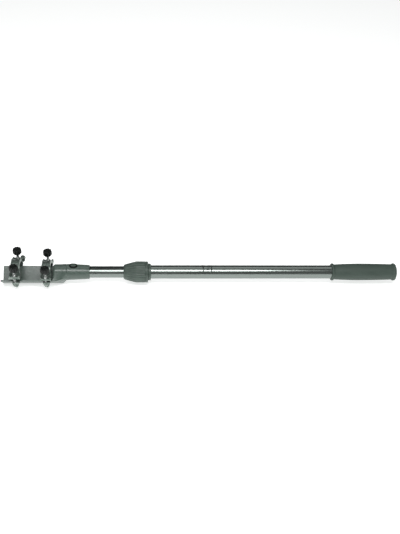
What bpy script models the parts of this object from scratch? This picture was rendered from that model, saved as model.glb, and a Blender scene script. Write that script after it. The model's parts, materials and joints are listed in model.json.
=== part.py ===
"""Telescopic extension handle for an outboard motor's tiller.

Frame: metres, +X runs along the pole towards the rubber grip, +Z is up, and the saddle's end
wall crosses the pole's axis at the origin.
"""
import math

import bmesh
import bpy
from mathutils import Matrix, Vector

MM = 0.001
GAP = 0.3 * MM                      # clearance between two pieces that touch
TURN = 2.0 * math.pi

# Driving dimensions ---------------------------------------------------------------------------

TILLER_GRIP_R = 16.25 * MM          # the motor's own twist grip, which lies in the saddle

# Saddle: a 90 degree trough with walls of even thickness
SADDLE_LENGTH = 93.4 * MM
SADDLE_WALL = 3.0 * MM
KEEL_Z = -27.2 * MM                 # outside of the fold, if it had no radius
KEEL_R = 3.0 * MM
LIP_Z = -4.0 * MM                   # outer corner of each lip
DOME_R = 14.2 * MM

# Neck and tube socket
NECK_END_X = 29.0 * MM
NECK_CORNER = 4.5 * MM              # rounding where the dome meets the saddle's end wall
KEEL_RISE_X = 15.0 * MM
SOCKET_END_X = 66.6 * MM
SOCKET_R_START = 14.9 * MM
SOCKET_R_END = 13.1 * MM
SOCKET_END_ROUND = 1.3 * MM
SOCKET_BORE_START_X = 22.0 * MM
GROOVE_X = 23.0 * MM
GROOVE_WIDTH = 2.4 * MM
GROOVE_DEPTH = 0.5 * MM

# Tubes
INNER_R = 10.75 * MM
OUTER_R = 12.5 * MM
TUBE_WALL = 1.2 * MM
INNER_START_X = 24.0 * MM
INNER_END_X = 530.0 * MM
OUTER_START_X = 152.0 * MM
OUTER_END_X = 626.0 * MM

# Twist lock
COLLAR_START_X = 128.6 * MM
COLLAR_SHOULDER_X = 151.7 * MM
COLLAR_END_X = 173.6 * MM
COLLAR_FRONT_R = 13.3 * MM
COLLAR_R = 19.5 * MM
COLLAR_TAPER_MID = 0.54             # share of the taper's rise that is done halfway along
FLUTE_COUNT = 20
FLUTE_DEPTH = 1.1 * MM
BUSH_THREAD_R = 14.2 * MM
BUSH_FLANGE_R = 15.5 * MM
BUSH_FLANGE_X = 173.9 * MM
BUSH_END_X = 178.5 * MM
COLLET_START_X = 133.0 * MM
COLLET_LENGTH = 16.0 * MM
COLLET_SPLIT = 2.5 * MM

# Rubber grip: a flange at each end and a barrel between them
GRIP_START_X = 513.0 * MM
GRIP_END_X = 634.8 * MM
GRIP_FLANGE_R = 16.2 * MM
GRIP_NECK_R = 14.0 * MM
GRIP_BELLY_R = 15.5 * MM
GRIP_TAIL_R = 14.4 * MM
GRIP_FRONT_FLANGE = 5.6 * MM
GRIP_BACK_FLANGE = 5.6 * MM

# Snap button on top of the socket, and the spring under it
BUTTON_X = 37.1 * MM
BUTTON_LENGTH = 10.6 * MM
BUTTON_WIDTH = 6.8 * MM
BUTTON_TOP_Z = 16.2 * MM
BUTTON_FLANGE_Z = 5.5 * MM
BUTTON_FLANGE_HEIGHT = 1.5 * MM
BUTTON_FLANGE_MARGIN = 1.3 * MM
BEZEL_MARGIN = 2.0 * MM
BEZEL_BOTTOM_Z = 12.9 * MM
BEZEL_TOP_Z = 15.8 * MM
SPRING_R = 2.8 * MM
SPRING_WIRE_R = 0.4 * MM
SPRING_TURNS = 4
SPRING_SEAT_Z = -3.0 * MM
SPRING_SEAT_LENGTH = 16.0 * MM
SPRING_POST_R = 1.8 * MM
SPRING_POST_Z = -0.5 * MM

# Clamps
CLAMP_X = {"front": -66.6 * MM, "rear": -11.5 * MM}
ARCH_Z = {"front": 4.0 * MM, "rear": 0.0 * MM}
YOKE_HALF_WIDTH = 9.4 * MM
YOKE_LEAN = 0.13                    # sideways slope of each cheek, so that they spread downwards
SCREW_Y = 26.0 * MM
SIDES = {"near": -1.0, "far": 1.0}
STRAP_INNER_R = 17.0 * MM
STRAP_THICKNESS = 3.0 * MM
CHEEK_THICKNESS = 2.3 * MM
CHEEK_RISE = 2.0 * MM
EAR_TOP_Z = {"front": 11.0 * MM, "rear": 6.3 * MM}
FOOT_BOTTOM_Z = {"front": 6.2 * MM, "rear": 2.2 * MM}
FOOT_INNER_Y = 22.4 * MM
FOOT_OUTER_Y = 30.2 * MM
LUG_R = 4.8 * MM
LUG_X = 8.8 * MM
LUG_Z = 10.8 * MM
LUG_LENGTH = 9.4 * MM

# Screws: knob, stud, washer and hook jaw
STUD_R = 2.5 * MM
STUD_HOLE_R = 2.9 * MM
STUD_BOTTOM_Z = -13.0 * MM
STUD_CHAMFER = 0.5 * MM
STUD_SHOULDER_R = 3.4 * MM
WASHER_R = 3.7 * MM
WASHER_THICKNESS = 1.0 * MM
KNOB_NECK_Z = {"front": 19.6 * MM, "rear": 15.8 * MM}
KNOB_HEIGHT = 14.0 * MM
KNOB_R = 8.2 * MM
KNOB_HOLE_DEPTH = 6.0 * MM
KNOB_LOBES = 9
KNOB_POINTS = 4                     # points round each lobe
KNOB_LOBE_DEPTH = 1.4 * MM
KNOB_DIMPLE_R = 2.6 * MM
KNOB_DIMPLE_DEPTH = 1.2 * MM
# Each ring's share of the knob's height, radius and lobe depth
KNOB_PROFILE = ((0.0, 0.40, 0.0), (0.06, 0.45, 0.0), (0.30, 0.92, 0.8), (0.38, 1.0, 1.0),
                (0.90, 1.0, 1.0), (0.97, 0.94, 0.9), (1.0, 0.84, 0.7))
JAW_SHIFT = 1.8 * MM                # the jaw stands a little off its screw, towards the grip
JAW_TOP_Z = -1.8 * MM
JAW_HALF_WIDTH = 6.3 * MM
JAW_TIP_HALF_WIDTH = 1.4 * MM
JAW_INNER_Y = 24.0 * MM
JAW_NOSE_Y = 19.4 * MM
JAW_OUTER_Y = 29.8 * MM
JAW_TIP_Y = 26.6 * MM
JAW_GAP = 0.7 * MM                  # along Y, between the jaw's nose and the saddle's wall
# Each level of the jaw below its top: (z, share of the taper to the tip)
JAW_LEVELS = ((-4.0 * MM, 0.0), (-8.5 * MM, 0.30), (-10.5 * MM, 0.55), (-13.2 * MM, 0.92),
              (-14.2 * MM, 1.0))

# Facets
ROUND_FACES = 32
SMALL_FACES = 16
OVAL_FACES = 14
SMOOTH_ANGLE = math.radians(35.0)


# Scene and material helpers -------------------------------------------------------------------

def clear_scene():
    for old in list(bpy.data.objects):
        bpy.data.objects.remove(old, do_unlink=True)


def make_material(name, colour, roughness, metallic):
    material = bpy.data.materials.new(name)
    material.use_nodes = True
    shader = material.node_tree.nodes["Principled BSDF"]
    shader.inputs["Base Color"].default_value = (*colour, 1.0)
    shader.inputs["Roughness"].default_value = roughness
    shader.inputs["Metallic"].default_value = metallic
    return material


def add_object(name, bm, material, smooth=True):
    """Turn a bmesh into an object, with its faces pointing out."""
    bmesh.ops.recalc_face_normals(bm, faces=bm.faces)
    mesh = bpy.data.meshes.new(name)
    bm.to_mesh(mesh)
    bm.free()
    if smooth:
        mesh.shade_smooth()
        mesh.set_sharp_from_angle(angle=SMOOTH_ANGLE)
    obj = bpy.data.objects.new(name, mesh)
    if material is not None:
        mesh.materials.append(material)
    bpy.context.scene.collection.objects.link(obj)
    return obj


def set_origin(obj, point):
    """Move an object's origin to a point without moving its shape."""
    obj.data.transform(Matrix.Translation(-Vector(point)))
    obj.location = point


def boolean(obj, operand, operation):
    """Cut an object with another one, or add the other one to it."""
    operand.hide_render = True
    operand.display_type = "WIRE"
    modifier = obj.modifiers.new(operand.name, "BOOLEAN")
    modifier.operation = operation
    modifier.object = operand
    modifier.solver = "EXACT"


# Shape helpers --------------------------------------------------------------------------------

def loft(sections, closed_loop=False):
    """Skin rings of equal length; the ends are capped unless the rings form a closed loop."""
    bm = bmesh.new()
    rings = [[bm.verts.new(point) for point in section] for section in sections]
    pairs = list(zip(rings, rings[1:]))
    if closed_loop:
        pairs.append((rings[-1], rings[0]))
    count = len(rings[0])
    for first, second in pairs:
        for i in range(count):
            j = (i + 1) % count
            bm.faces.new((first[i], first[j], second[j], second[i]))
    if not closed_loop:
        bm.faces.new(rings[0])
        bm.faces.new(rings[-1])
    return bm


def circle_x(x, radius, count=ROUND_FACES):
    """Ring of points round the X axis."""
    angles = [TURN * i / count for i in range(count)]
    return [Vector((x, radius * math.cos(a), radius * math.sin(a))) for a in angles]


def circle_z(x, y, z, radius, count=SMALL_FACES):
    """Ring of points round a vertical axis."""
    angles = [TURN * i / count for i in range(count)]
    return [Vector((x + radius * math.cos(a), y + radius * math.sin(a), z)) for a in angles]


def oval_z(x, z, length, width, count=OVAL_FACES):
    """Round-ended slot outline in a level plane, long side along X."""
    radius = width / 2.0
    straight = (length - width) / 2.0
    points = []
    for end, start_angle in ((1.0, -TURN / 4.0), (-1.0, TURN / 4.0)):
        for i in range(count // 2 + 1):
            angle = start_angle + TURN * i / count
            points.append(Vector((x + end * straight + radius * math.cos(angle),
                                  radius * math.sin(angle), z)))
    return points


def turned(profile, count=ROUND_FACES):
    """Ring-shaped solid round the X axis from a closed outline of (x, radius) points."""
    return loft([circle_x(x, radius, count) for x, radius in profile], closed_loop=True)


def turned_solid(profile, count=ROUND_FACES):
    """Solid round the X axis with flat ends."""
    return loft([circle_x(x, radius, count) for x, radius in profile])


def post(x, y, levels, count=SMALL_FACES):
    """Solid round a vertical axis from (z, radius) levels."""
    return loft([circle_z(x, y, z, radius, count) for z, radius in levels])


def prism_x(outline, x_start, x_end):
    """Extrude a (y, z) outline along X."""
    return loft([[Vector((x, y, z)) for y, z in outline] for x in (x_start, x_end)])


def box(x_range, y_range, z_range):
    corners = [(y_range[0], z_range[0]), (y_range[1], z_range[0]),
               (y_range[1], z_range[1]), (y_range[0], z_range[1])]
    return prism_x(corners, x_range[0], x_range[1])


def arc(centre, radius, start_deg, end_deg, steps):
    """Points of a (y, z) arc, both ends included."""
    points = []
    for i in range(steps + 1):
        angle = math.radians(start_deg + (end_deg - start_deg) * i / steps)
        points.append((centre[0] + radius * math.cos(angle), centre[1] + radius * math.sin(angle)))
    return points


def mirrored(outline):
    """Complete a half outline that runs from the bottom to the top on the +Y side."""
    left = [(-y, z) for y, z in reversed(outline) if abs(y) > 1e-9]
    return outline + left


def smoothstep(value):
    value = min(max(value, 0.0), 1.0)
    return value * value * (3.0 - 2.0 * value)


# Head: saddle, neck and socket in one casting -------------------------------------------------

def head_outline():
    """Outside of the casting at the saddle: a V with a dome above it."""
    keel_centre_z = KEEL_Z + KEEL_R * math.sqrt(2.0)
    keel = arc((0.0, keel_centre_z), KEEL_R, -90.0, -45.0, 3)
    lip_y = LIP_Z - KEEL_Z
    over = SADDLE_WALL / math.sqrt(2.0) + 0.6 * MM
    lip = [(lip_y * 0.55, KEEL_Z + lip_y * 0.55), (lip_y, LIP_Z), (lip_y - over, LIP_Z + over)]
    dome = arc((0.0, 0.0), DOME_R, 32.0, 90.0, 7)
    return mirrored(keel + lip + dome)


def neck_blend(x, angle):
    """0 where the section still follows the saddle, 1 where it is round."""
    start = KEEL_RISE_X * max(-math.sin(angle), 0.0) ** 2
    return smoothstep((x - start) / (NECK_END_X - start))


def corner_cut(x, angle):
    """How far the rounded corner behind the saddle's end wall lies inside the dome."""
    if angle < 0.0:
        return 0.0
    share = 1.0 - min(max(x / NECK_CORNER, 0.0), 1.0)
    return NECK_CORNER * (1.0 - math.sqrt(1.0 - share * share))


def round_radius(x):
    """Radius of the round part: constant in the neck, then tapering to the socket's mouth."""
    share = max(x - NECK_END_X, 0.0) / (SOCKET_END_X - NECK_END_X)
    return SOCKET_R_START + (SOCKET_R_END - SOCKET_R_START) * share


def head_section(x, depth=0.0):
    points = []
    for y, z in head_outline():
        angle = math.atan2(z, y)
        blend = neck_blend(x, angle)
        radius = (1.0 - blend) * math.hypot(y, z) + blend * (round_radius(x) - depth)
        radius -= corner_cut(x, angle)
        points.append(Vector((x, radius * math.cos(angle), radius * math.sin(angle))))
    return points


def head_sections():
    """(x, depth) of each ring, from the saddle's open end to the socket's mouth."""
    corner = [(NECK_CORNER * share, 0.0) for share in (0.0, 0.15, 0.4, 1.0)]
    neck = [(x * MM, 0.0) for x in (8.0, 12.0, 15.5, 18.0, 20.5)]
    groove_end = GROOVE_X + GROOVE_WIDTH
    groove = [(GROOVE_X, 0.0), (GROOVE_X + 0.3 * MM, GROOVE_DEPTH), (groove_end - 0.3 * MM, GROOVE_DEPTH),
              (groove_end, 0.0)]
    mouth = [(NECK_END_X, 0.0), (SOCKET_END_X - SOCKET_END_ROUND, 0.0),
             (SOCKET_END_X - 0.3 * SOCKET_END_ROUND, 0.3 * SOCKET_END_ROUND),
             (SOCKET_END_X, SOCKET_END_ROUND)]
    return [(-SADDLE_LENGTH, 0.0)] + corner + neck + groove + mouth


def build_head(material):
    sections = [head_section(x, depth) for x, depth in head_sections()]
    head = add_object("head_casting", loft(sections), material)

    inner_fold_z = KEEL_Z + SADDLE_WALL * math.sqrt(2.0)
    reach = 60.0 * MM
    channel = [(0.0, inner_fold_z), (reach, inner_fold_z + reach), (-reach, inner_fold_z + reach)]
    boolean(head, add_object("cut_channel", prism_x(channel, -2.0 * SADDLE_LENGTH, 0.0), None, False),
            "DIFFERENCE")
    bore_profile = [(SOCKET_BORE_START_X, INNER_R + GAP), (SOCKET_END_X * 1.1, INNER_R + GAP)]
    boolean(head, add_object("cut_socket", turned_solid(bore_profile), None, False), "DIFFERENCE")
    slot = button_prism(2.0 * GAP, 0.0, BEZEL_TOP_Z * 1.5)
    boolean(head, add_object("cut_button_slot", slot, None, False), "DIFFERENCE")
    pocket = button_prism(2.0 * BEZEL_MARGIN + 2.0 * GAP, BEZEL_BOTTOM_Z - GAP, BEZEL_TOP_Z * 1.5)
    boolean(head, add_object("cut_bezel_pocket", pocket, None, False), "DIFFERENCE")
    return head


# Snap button ----------------------------------------------------------------------------------

def button_prism(margin, z_start, z_end):
    """Upright slot-shaped prism, wider than the button's cap by a margin."""
    outline = [oval_z(BUTTON_X, z, BUTTON_LENGTH + margin, BUTTON_WIDTH + margin)
               for z in (z_start, z_end)]
    return loft(outline)


def build_button(material):
    crown = 0.7 * MM
    flange_top = BUTTON_FLANGE_Z + BUTTON_FLANGE_HEIGHT
    wide = 2.0 * BUTTON_FLANGE_MARGIN
    levels = [(BUTTON_FLANGE_Z, wide), (flange_top, wide), (flange_top, 0.0),
              (BUTTON_TOP_Z - crown, 0.0), (BUTTON_TOP_Z, -2.0 * crown)]
    rings = [oval_z(BUTTON_X, z, BUTTON_LENGTH + margin, BUTTON_WIDTH + margin)
             for z, margin in levels]
    button = add_object("snap_button", loft(rings), material)
    set_origin(button, (BUTTON_X, 0.0, BUTTON_FLANGE_Z))


def build_bezel(material):
    inside = 2.0 * GAP
    outside = 2.0 * BEZEL_MARGIN
    corners = [(BEZEL_BOTTOM_Z, outside), (BEZEL_TOP_Z - 0.4 * MM, outside),
               (BEZEL_TOP_Z, outside - 0.8 * MM), (BEZEL_TOP_Z, inside), (BEZEL_BOTTOM_Z, inside)]
    rings = [oval_z(BUTTON_X, z, BUTTON_LENGTH + margin, BUTTON_WIDTH + margin)
             for z, margin in corners]
    add_object("button_bezel", loft(rings, closed_loop=True), material)


def build_button_spring(material):
    bottom = SPRING_SEAT_Z + GAP + SPRING_WIRE_R
    top = BUTTON_FLANGE_Z - GAP - SPRING_WIRE_R
    steps = 8
    total = SPRING_TURNS * steps
    rings = []
    for i in range(total + 1):
        angle = TURN * i / steps
        centre = Vector((BUTTON_X + SPRING_R * math.cos(angle), SPRING_R * math.sin(angle),
                         bottom + (top - bottom) * i / total))
        out = Vector((math.cos(angle), math.sin(angle), 0.0))
        corners = [TURN * k / 5 for k in range(5)]
        rings.append([centre + SPRING_WIRE_R * (out * math.cos(a) + Vector((0.0, 0.0, math.sin(a))))
                      for a in corners])
    add_object("button_spring", loft(rings), material)


def build_spring_seat(material):
    """Plug that fills the lower part of the inner tube, with a post that centres the spring."""
    radius = INNER_R - TUBE_WALL - GAP
    angle = math.degrees(math.asin(SPRING_SEAT_Z / radius))
    outline = arc((0.0, 0.0), radius, -180.0 - angle, angle, 16)
    half = SPRING_SEAT_LENGTH / 2.0
    seat = add_object("spring_seat", prism_x(outline, BUTTON_X - half, BUTTON_X + half), material)
    levels = [(SPRING_SEAT_Z * 1.5, SPRING_POST_R), (SPRING_POST_Z, SPRING_POST_R)]
    boolean(seat, add_object("add_spring_post", post(BUTTON_X, 0.0, levels, 12), None), "UNION")


# Tubes and twist lock -------------------------------------------------------------------------

def tube_profile(x_start, x_end, radius, wall):
    return [(x_start, radius), (x_end, radius), (x_end, radius - wall), (x_start, radius - wall)]


def build_inner_tube(material):
    profile = tube_profile(INNER_START_X, INNER_END_X, INNER_R, TUBE_WALL)
    tube = add_object("inner_tube", turned(profile), material)
    slot = button_prism(2.0 * GAP, 0.0, INNER_R * 1.5)
    boolean(tube, add_object("cut_tube_slot", slot, None, False), "DIFFERENCE")


def build_glide_bush(material):
    """Nylon bush behind the inner tube's end: its rim rides in the outer tube."""
    rim = OUTER_R - TUBE_WALL - GAP
    spigot = INNER_R - TUBE_WALL - GAP
    start = INNER_END_X - 12.0 * MM
    shoulder = INNER_END_X + GAP
    end = INNER_END_X + 8.0 * MM
    bore = spigot - 2.5 * MM
    profile = [(start, spigot), (shoulder, spigot), (shoulder, rim), (end, rim), (end, bore),
               (start, bore)]
    add_object("glide_bush", turned(profile), material)


def build_outer_tube(material):
    profile = tube_profile(OUTER_START_X, OUTER_END_X, OUTER_R, TUBE_WALL)
    add_object("outer_tube", turned(profile), material)


def build_tube_end_plug(material):
    spigot = OUTER_R - TUBE_WALL - GAP
    head_start = OUTER_END_X + GAP
    profile = [(OUTER_END_X - 16.0 * MM, spigot - 0.6 * MM), (OUTER_END_X - 14.0 * MM, spigot),
               (head_start, spigot), (head_start, OUTER_R), (head_start + 2.0 * MM, OUTER_R)]
    add_object("tube_end_plug", turned_solid(profile), material)


def build_lock_bush(material):
    bore = OUTER_R + GAP
    start = OUTER_START_X - 1.7 * MM
    chamfer = 0.6 * MM
    profile = [(start, BUSH_THREAD_R - chamfer), (start + chamfer, BUSH_THREAD_R),
               (BUSH_FLANGE_X, BUSH_THREAD_R), (BUSH_FLANGE_X, BUSH_FLANGE_R),
               (BUSH_END_X - chamfer, BUSH_FLANGE_R), (BUSH_END_X, BUSH_FLANGE_R - chamfer),
               (BUSH_END_X, bore), (start, bore)]
    add_object("lock_bush", turned(profile), material)


def collet_outer_radius(share):
    return (12.2 + 2.0 * share) * MM


def build_collet(material):
    """Split ring with a cone outside: the section runs round an open arc."""
    inner = INNER_R + GAP
    end_x = COLLET_START_X + COLLET_LENGTH
    half_gap = COLLET_SPLIT / (2.0 * inner)
    steps = ROUND_FACES - 4
    rings = []
    for i in range(steps + 1):
        angle = half_gap + (TURN - 2.0 * half_gap) * i / steps
        out = Vector((0.0, math.cos(angle), math.sin(angle)))
        section = [(COLLET_START_X, inner), (COLLET_START_X, collet_outer_radius(0.0)),
                   (end_x, collet_outer_radius(1.0)), (end_x, inner)]
        rings.append([Vector((x, 0.0, 0.0)) + out * radius for x, radius in section])
    add_object("collet_ring", loft(rings), material)


def fluted_ring(x, radius, depth):
    """Four points a flute: two on the land and two in the groove."""
    points = []
    for flute in range(FLUTE_COUNT):
        for place, cut in ((0.0, 0.0), (0.42, 0.0), (0.58, 1.0), (0.84, 1.0)):
            angle = TURN * (flute + place) / FLUTE_COUNT
            r = radius - depth * cut
            points.append(Vector((x, r * math.cos(angle), r * math.sin(angle))))
    return points


def build_lock_collar(material):
    rim = 1.2 * MM
    taper_mid_x = (COLLAR_START_X + COLLAR_SHOULDER_X) / 2.0
    taper_mid_r = COLLAR_FRONT_R + COLLAR_TAPER_MID * (COLLAR_R - COLLAR_FRONT_R)
    bore_r = INNER_R + 0.4 * MM
    cone_start_x = COLLET_START_X - 1.5 * MM
    cone_end_x = COLLET_START_X + COLLET_LENGTH + 0.5 * MM
    wide_r = BUSH_THREAD_R + 0.4 * MM
    outline = [(COLLAR_START_X, bore_r, 0.0), (COLLAR_START_X, COLLAR_FRONT_R - rim, 0.0),
               (COLLAR_START_X + rim, COLLAR_FRONT_R, 0.0), (taper_mid_x, taper_mid_r, 0.5),
               (COLLAR_SHOULDER_X - rim, COLLAR_R - 0.4 * MM, 1.0), (COLLAR_SHOULDER_X, COLLAR_R, 1.0),
               (COLLAR_END_X - 2.0 * rim, COLLAR_R, 1.0), (COLLAR_END_X - rim, COLLAR_R, 0.0),
               (COLLAR_END_X, COLLAR_R - rim, 0.0), (COLLAR_END_X, wide_r, 0.0),
               (cone_end_x, wide_r, 0.0), (cone_start_x, collet_outer_radius(0.0) + 0.4 * MM, 0.0),
               (cone_start_x, bore_r, 0.0)]
    rings = [fluted_ring(x, radius, FLUTE_DEPTH * share) for x, radius, share in outline]
    add_object("lock_collar", loft(rings, closed_loop=True), material)


def build_grip(material):
    """Blind sleeve: flange, barrel, flange and a domed end."""
    bore = OUTER_R + GAP
    edge = 1.5 * MM
    barrel_start = GRIP_START_X + GRIP_FRONT_FLANGE
    barrel_end = GRIP_END_X - GRIP_BACK_FLANGE - 1.2 * MM
    outside = [(GRIP_START_X, GRIP_FLANGE_R - edge), (GRIP_START_X + edge, GRIP_FLANGE_R),
               (barrel_start - edge, GRIP_FLANGE_R), (barrel_start, GRIP_NECK_R)]
    steps = 9
    belly = 0.44
    for i in range(1, steps):
        share = i / steps
        if share < belly:
            low, bulge = GRIP_NECK_R, math.sin(TURN / 4.0 * share / belly)
        else:
            low, bulge = GRIP_TAIL_R, math.cos(TURN / 4.0 * (share - belly) / (1.0 - belly))
        x = barrel_start + (barrel_end - barrel_start) * share
        outside.append((x, low + (GRIP_BELLY_R - low) * bulge))
    outside += [(barrel_end, GRIP_TAIL_R), (barrel_end + edge, GRIP_FLANGE_R),
                (GRIP_END_X - 2.0 * edge, GRIP_FLANGE_R), (GRIP_END_X - edge, GRIP_FLANGE_R - 0.5 * edge),
                (GRIP_END_X - 0.4 * MM, GRIP_FLANGE_R * 0.6), (GRIP_END_X, GRIP_FLANGE_R * 0.2)]
    bore_end_x = OUTER_END_X + 2.0 * MM + 3.0 * GAP
    bore_wall = [(bore_end_x, bore), (GRIP_START_X, bore)]
    add_object("grip_sleeve", turned_solid(bore_wall + outside), material)


# Clamps ---------------------------------------------------------------------------------------

def cheek_outline(place):
    """Side of the yoke in the (y, z) plane, from the near foot over the arch to the far foot."""
    centre = (0.0, ARCH_Z[place])
    foot_z = FOOT_BOTTOM_Z[place]
    ear_z = EAR_TOP_Z[place] + CHEEK_RISE
    top_r = STRAP_INNER_R + STRAP_THICKNESS + CHEEK_RISE
    inner_arch = arc(centre, STRAP_INNER_R - 0.4 * MM, 12.0, 90.0, 7)
    outer_arch = arc(centre, top_r, 90.0, 46.0, 6)
    right = [(FOOT_INNER_Y, foot_z)] + inner_arch
    left = [(-y, z) for y, z in reversed(right[:-1])]
    right_outer = outer_arch[1:] + [(19.5 * MM, ear_z), (FOOT_OUTER_Y - 1.5 * MM, ear_z),
                                    (FOOT_OUTER_Y, ear_z - 1.8 * MM), (FOOT_OUTER_Y, foot_z)]
    left_outer = [(-y, z) for y, z in reversed(right_outer)]
    return right + left + left_outer + [(0.0, centre[1] + top_r)] + right_outer


def strap_outline(place):
    """The plate between the cheeks: an arch with a level ear at each end."""
    centre = (0.0, ARCH_Z[place])
    outer_r = STRAP_INNER_R + STRAP_THICKNESS
    ear_y = FOOT_OUTER_Y - 0.6 * MM
    foot_z = FOOT_BOTTOM_Z[place] + 0.3 * MM
    inner_start = math.degrees(math.asin((foot_z - centre[1] + 1.0 * MM) / STRAP_INNER_R))
    outer_end = math.degrees(math.asin((EAR_TOP_Z[place] - centre[1]) / outer_r))
    inner_arch = arc(centre, STRAP_INNER_R, inner_start, 90.0, 8)
    inner = [(ear_y, foot_z), (inner_arch[0][0] + 1.5 * MM, foot_z)] + inner_arch
    outer = arc(centre, outer_r, 90.0, outer_end, 8)[1:] + [(ear_y, EAR_TOP_Z[place])]
    left_inner = [(-y, z) for y, z in reversed(inner[:-1])]
    left_outer = [(-y, z) for y, z in reversed(outer)]
    return inner + left_inner + left_outer + [(0.0, centre[1] + outer_r)] + outer


def cheek_rings(place, x_inner, x_outer, lean):
    """The two faces of a cheek, which leans outwards below the ears and inwards above them."""
    top = EAR_TOP_Z[place] + CHEEK_RISE
    return [[Vector((x + lean * (top - z), y, z)) for y, z in cheek_outline(place)]
            for x in (x_inner, x_outer)]


def build_yoke(place, material):
    centre = CLAMP_X[place]
    name = "yoke_" + place
    inside = YOKE_HALF_WIDTH - CHEEK_THICKNESS
    overlap = 0.4 * MM
    yoke = add_object(name, prism_x(strap_outline(place), centre - inside - overlap,
                                    centre + inside + overlap), material)
    for side, sign in (("left", -1.0), ("right", 1.0)):
        rings = cheek_rings(place, centre + sign * inside, centre + sign * YOKE_HALF_WIDTH,
                            sign * YOKE_LEAN)
        boolean(yoke, add_object(f"add_{name}_cheek_{side}", loft(rings), None), "UNION")
    if place == "front":
        add_round_lug(yoke, name, centre)
    for side, sign in SIDES.items():
        hole = post(centre, sign * SCREW_Y, [(STUD_BOTTOM_Z, STUD_HOLE_R),
                                             (KNOB_NECK_Z[place], STUD_HOLE_R)])
        boolean(yoke, add_object(f"cut_{name}_hole_{side}", hole, None), "DIFFERENCE")
    set_origin(yoke, (centre, 0.0, 0.0))


def add_round_lug(yoke, name, centre):
    """Round lug on the far ear of the front yoke, beside its screw."""
    y_start = SCREW_Y - LUG_LENGTH / 2.0
    rings = []
    for y in (y_start, y_start + LUG_LENGTH):
        angles = [TURN * (i + 0.5) / SMALL_FACES for i in range(SMALL_FACES)]
        rings.append([Vector((centre + LUG_X + LUG_R * math.cos(a), y, LUG_Z + LUG_R * math.sin(a)))
                      for a in angles])
    boolean(yoke, add_object(f"add_{name}_lug", loft(rings), None), "UNION")


def build_washer(place, side, sign, material):
    """Thrust washer between a screw's shoulder and the yoke's ear."""
    x, y = CLAMP_X[place], sign * SCREW_Y
    bottom = EAR_TOP_Z[place] + GAP
    top = bottom + WASHER_THICKNESS
    corners = [(bottom, WASHER_R), (top, WASHER_R), (top, STUD_HOLE_R), (bottom, STUD_HOLE_R)]
    rings = [circle_z(x, y, z, radius) for z, radius in corners]
    washer = add_object(f"washer_{place}_{side}", loft(rings, closed_loop=True), material)
    set_origin(washer, (x, y, 0.0))


def build_stud(place, side, sign, material):
    """Screw from the jaw up into the knob, with a shoulder that bears on the washer."""
    x, y = CLAMP_X[place], sign * SCREW_Y
    shoulder = EAR_TOP_Z[place] + WASHER_THICKNESS + 2.0 * GAP
    neck = KNOB_NECK_Z[place]
    levels = [(STUD_BOTTOM_Z, STUD_R - STUD_CHAMFER), (STUD_BOTTOM_Z + STUD_CHAMFER, STUD_R),
              (shoulder, STUD_R), (shoulder, STUD_SHOULDER_R), (shoulder + 1.6 * MM, STUD_SHOULDER_R),
              (shoulder + 1.6 * MM, STUD_R), (neck + KNOB_HOLE_DEPTH, STUD_R)]
    stud = add_object(f"stud_{place}_{side}", post(x, y, levels), material)
    set_origin(stud, (x, y, 0.0))


def lobed_ring(x, y, z, radius, depth):
    points = []
    for i in range(KNOB_LOBES * KNOB_POINTS):
        angle = TURN * i / (KNOB_LOBES * KNOB_POINTS)
        r = radius - depth * (0.5 - 0.5 * math.cos(KNOB_LOBES * angle)) ** 1.5
        points.append(Vector((x + r * math.cos(angle), y + r * math.sin(angle), z)))
    return points


def build_knob(place, side, sign, material):
    """Lobed knob that tapers to a neck, with a dished face and a blind hole for the stud."""
    x, y = CLAMP_X[place], sign * SCREW_Y
    neck = KNOB_NECK_Z[place]
    top = neck + KNOB_HEIGHT
    hole_r = STUD_R + GAP
    outline = [(neck + KNOB_HOLE_DEPTH + GAP, hole_r, 0.0), (neck, hole_r, 0.0)]
    outline += [(neck + KNOB_HEIGHT * height, KNOB_R * radius, KNOB_LOBE_DEPTH * lobes)
                for height, radius, lobes in KNOB_PROFILE]
    outline += [(top, KNOB_DIMPLE_R + 0.6 * MM, 0.0), (top - KNOB_DIMPLE_DEPTH, KNOB_DIMPLE_R, 0.0)]
    rings = [lobed_ring(x, y, z, radius, depth) for z, radius, depth in outline]
    knob = add_object(f"knob_{place}_{side}", loft(rings), material)
    set_origin(knob, (x, y, 0.0))


def jaw_nose_y(z):
    """The nose stands outside the lip, and below it follows the saddle's sloping wall."""
    along_wall = z - KEEL_Z + JAW_GAP
    return max(min(along_wall, JAW_INNER_Y), JAW_NOSE_Y)


def build_jaw(place, side, sign, material):
    """Hook that reaches under the saddle's lip and narrows to a rounded point."""
    x = CLAMP_X[place]
    rings = []
    for z, taper in ((JAW_TOP_Z, 0.0),) + JAW_LEVELS:
        half = JAW_HALF_WIDTH + (JAW_TIP_HALF_WIDTH - JAW_HALF_WIDTH) * taper
        lean = taper ** 2
        nose_y = jaw_nose_y(z) + (JAW_TIP_Y - 1.5 * MM - jaw_nose_y(z)) * lean
        back_y = JAW_OUTER_Y + (JAW_TIP_Y + 1.5 * MM - JAW_OUTER_Y) * lean
        ends = (x + JAW_SHIFT - half, x + JAW_SHIFT + half)
        rings.append([Vector((ends[0], sign * nose_y, z)), Vector((ends[1], sign * nose_y, z)),
                      Vector((ends[1], sign * back_y, z)), Vector((ends[0], sign * back_y, z))])
    name = f"jaw_{place}_{side}"
    jaw = add_object(name, loft(rings), material, smooth=False)
    hole = post(x, sign * SCREW_Y, [(2.0 * STUD_BOTTOM_Z, STUD_HOLE_R), (0.0, STUD_HOLE_R)])
    boolean(jaw, add_object("cut_" + name, hole, None), "DIFFERENCE")
    set_origin(jaw, (x, sign * SCREW_Y, 0.0))


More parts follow.
